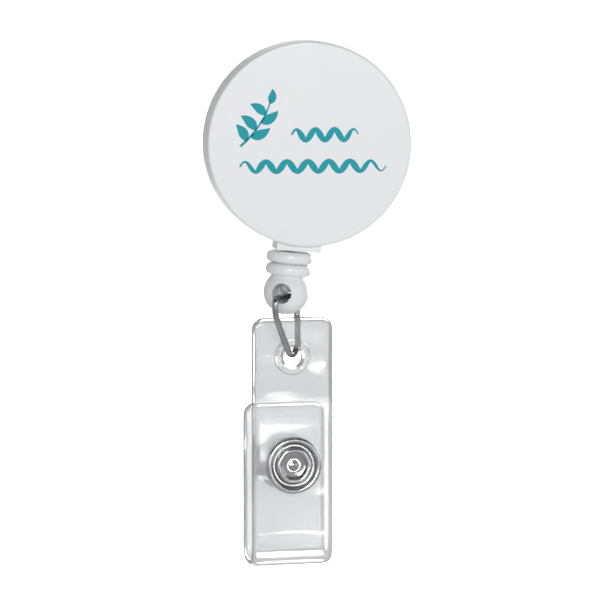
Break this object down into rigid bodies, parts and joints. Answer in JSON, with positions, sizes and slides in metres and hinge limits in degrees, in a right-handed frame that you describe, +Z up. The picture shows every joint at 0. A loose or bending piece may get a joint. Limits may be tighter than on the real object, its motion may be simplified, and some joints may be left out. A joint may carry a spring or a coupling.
{
  "type": "retractable badge reel",
  "caption": "Round retractable badge reel with a corded bead, a bent wire ring, a clear folded strap with a snap fastener, and a belt clip on its back.",
  "frame": {"origin": "inside top of the belt clip's bend, where the edge of a belt or pocket sits", "axes": "+Z up as it hangs, -Y out of the printed face, +X to the right seen from the front"},
  "size_m": [0.032, 0.0139, 0.0831],
  "materials": {
    "case_plastic": "satin moulded white",
    "bead_plastic": "satin moulded white",
    "spool_plastic": "moulded natural white",
    "spring_steel": "blued strip",
    "cord": "braided white",
    "ring_wire": "nickel plated",
    "clear_vinyl": "clear, soft",
    "snap_nickel": "polished nickel",
    "snap_brass": "bright wire",
    "clip_steel": "nickel plated spring steel"
  },
  "bodies": {
    "clip": {"clip_plate": "clip_steel", "clip_bend": "clip_steel", "clip_rivet": "clip_steel", "rivet_washer": "clip_steel"},
    "tongue": {"clip_tongue": "clip_steel"},
    "reel": {"front_case": "case_plastic", "rear_case": "case_plastic", "cord_inner_run": "cord", "power_spring": "spring_steel"},
    "spool": {"spool": "spool_plastic", "spring_cover": "spool_plastic", "cord_winding": "cord", "cord_spool_knot": "cord"},
    "cord_line": {"cord_outer_run": "cord", "cord_end_knot": "cord"},
    "bead": {"cord_bead": "bead_plastic"},
    "ring": {"wire_ring": "ring_wire"},
    "strap_front": {"strap_front_leg": "clear_vinyl", "strap_fold": "clear_vinyl", "snap_eyelet": "snap_nickel", "snap_stud": "snap_nickel"},
    "strap_back": {"strap_back_leg": "clear_vinyl", "snap_socket": "snap_nickel", "snap_socket_spring": "snap_brass", "snap_cap": "snap_nickel"}
  },
  "joints": [
    {"name": "clip_flex", "type": "hinge", "parent": "clip", "child": "tongue", "pos_m": [0, 0, -0.0025], "axis": [1, 0, 0], "range_deg": [0, 20], "stiffness_Nm_per_rad": 0.03, "springref_deg": -8.59, "deforming": ["clip_bend"]},
    {"name": "reel_swivel", "type": "hinge", "parent": "clip", "child": "reel", "pos_m": [0, -0.00685, -0.0121], "axis": [0, 1, 0], "continuous": true},
    {"name": "cord_pull", "type": "slide", "parent": "reel", "child": "cord_line", "axis": [-0.0958, 0, -0.9954], "range_m": [0, 0.6], "stiffness_N_per_m": 0.67, "springref_m": -0.75, "deforming": ["cord_outer_run"]},
    {"name": "spool_spin", "type": "hinge", "parent": "reel", "child": "spool", "pos_m": [0, -0.00685, -0.0121], "axis": [0, 1, 0], "range_deg": [0, 3240], "deforming": ["power_spring"]},
    {"name": "bead_turn", "type": "hinge", "parent": "cord_line", "child": "bead", "pos_m": [-0.00324, -0.00685, -0.03535], "axis": [-0.0958, 0, -0.9954], "continuous": true},
    {"name": "ring_swing", "type": "hinge", "parent": "bead", "child": "ring", "pos_m": [-0.00324, -0.00685, -0.03611], "axis": [-0.5299, -0.848, 0], "range_deg": [-60, 90]},
    {"name": "strap_swing", "type": "hinge", "parent": "ring", "child": "strap_front", "pos_m": [-0.00205, -0.00494, -0.04581], "axis": [-0.1392, 0.9903, 0], "range_deg": [-20, 9]},
    {"name": "strap_flap", "type": "hinge", "parent": "strap_front", "child": "strap_back", "pos_m": [-0.0024, -0.00247, -0.07856], "axis": [-0.9903, -0.1392, 0], "range_deg": [0, 120], "deforming": ["strap_fold"]}
  ],
  "couplings": [
    {"joint": "spool_spin", "follows": "cord_pull", "rad_per_m": 93.458}
  ]
}
